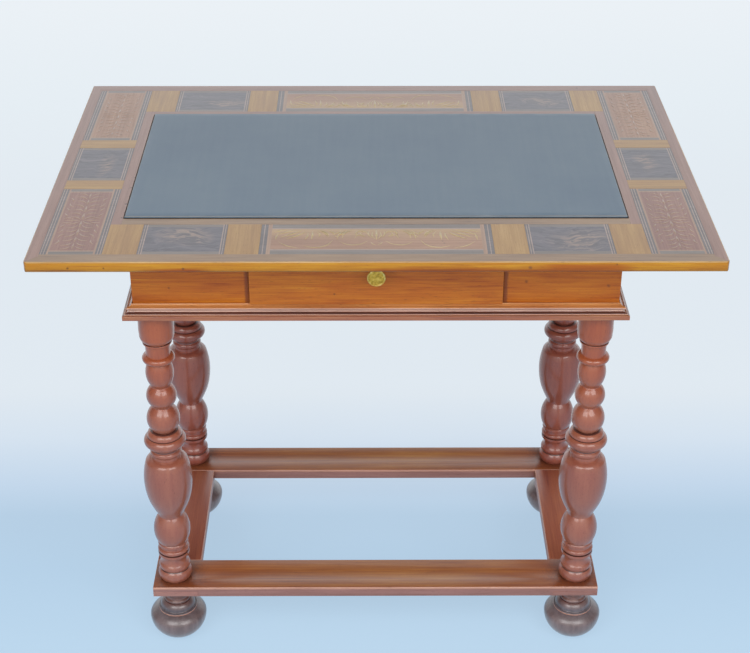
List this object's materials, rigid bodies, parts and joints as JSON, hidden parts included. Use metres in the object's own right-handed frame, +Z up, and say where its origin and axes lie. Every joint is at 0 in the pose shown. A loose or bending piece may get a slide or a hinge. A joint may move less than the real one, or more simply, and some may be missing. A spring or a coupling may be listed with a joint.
{
  "type": "money changer table",
  "caption": "Table with a slate surface in a marquetry border, a frieze drawer, turned legs, a low stretcher frame and bun feet.",
  "frame": {"origin": "on the floor, at the middle of the table", "axes": "+Z up, -Y towards the front with the drawer, +X to the right seen from the front"},
  "size_m": [0.942, 0.63, 0.7724],
  "materials": {
    "red_wood": "waxed, worn at the edges",
    "golden_wood": "waxed",
    "pale_veneer": "waxed veneer with a soft gloss",
    "burr_veneer": "waxed burr veneer",
    "plain_wood": "bare, planed",
    "slate": "honed, matt",
    "brass": "aged and rubbed",
    "iron": "forged, dull"
  },
  "bodies": {
    "frame": {"top_core": "plain_wood", "lipping_front": "golden_wood", "lipping_back": "golden_wood", "lipping_left": "golden_wood", "lipping_right": "golden_wood", "top_veneer": "pale_veneer", "slate_slab": "slate", "corner_panel_front_left": "pale_veneer", "corner_panel_front_right": "pale_veneer", "corner_panel_back_left": "pale_veneer", "corner_panel_back_right": "pale_veneer", "long_panel_front": "pale_veneer", "long_panel_back": "pale_veneer", "burr_panel_left": "burr_veneer", "burr_panel_right": "burr_veneer", "burr_panel_front_left": "burr_veneer", "burr_panel_front_right": "burr_veneer", "burr_panel_back_left": "burr_veneer", "burr_panel_back_right": "burr_veneer", "frieze_front_left": "red_wood", "frieze_front_right": "red_wood", "frieze_left": "red_wood", "frieze_right": "red_wood", "frieze_back": "red_wood", "drawer_rail": "red_wood", "drawer_bearer": "plain_wood", "corner_post_front_left": "plain_wood", "corner_post_front_right": "plain_wood", "corner_post_back_left": "plain_wood", "corner_post_back_right": "plain_wood", "runner_left": "plain_wood", "runner_right": "plain_wood", "kicker_left": "plain_wood", "kicker_right": "plain_wood", "drawer_stops": "plain_wood", "glue_blocks": "plain_wood", "moulding_front": "red_wood", "moulding_back": "red_wood", "moulding_left": "red_wood", "moulding_right": "red_wood", "leg_front_left": "red_wood", "leg_front_right": "red_wood", "leg_back_left": "red_wood", "leg_back_right": "red_wood", "stretcher_front": "red_wood", "stretcher_back": "red_wood", "stretcher_left": "red_wood", "stretcher_right": "red_wood", "foot_front_left": "red_wood", "foot_front_right": "red_wood", "foot_back_left": "red_wood", "foot_back_right": "red_wood"},
    "drawer": {"drawer_front": "red_wood", "drawer_side_left": "plain_wood", "drawer_side_right": "plain_wood", "drawer_back": "plain_wood", "drawer_bottom": "plain_wood", "knob": "brass", "knob_nut": "iron"}
  },
  "joints": [
    {"name": "drawer_slide", "type": "slide", "parent": "frame", "child": "drawer", "axis": [0, -1, 0], "range_m": [0, 0.25]}
  ]
}
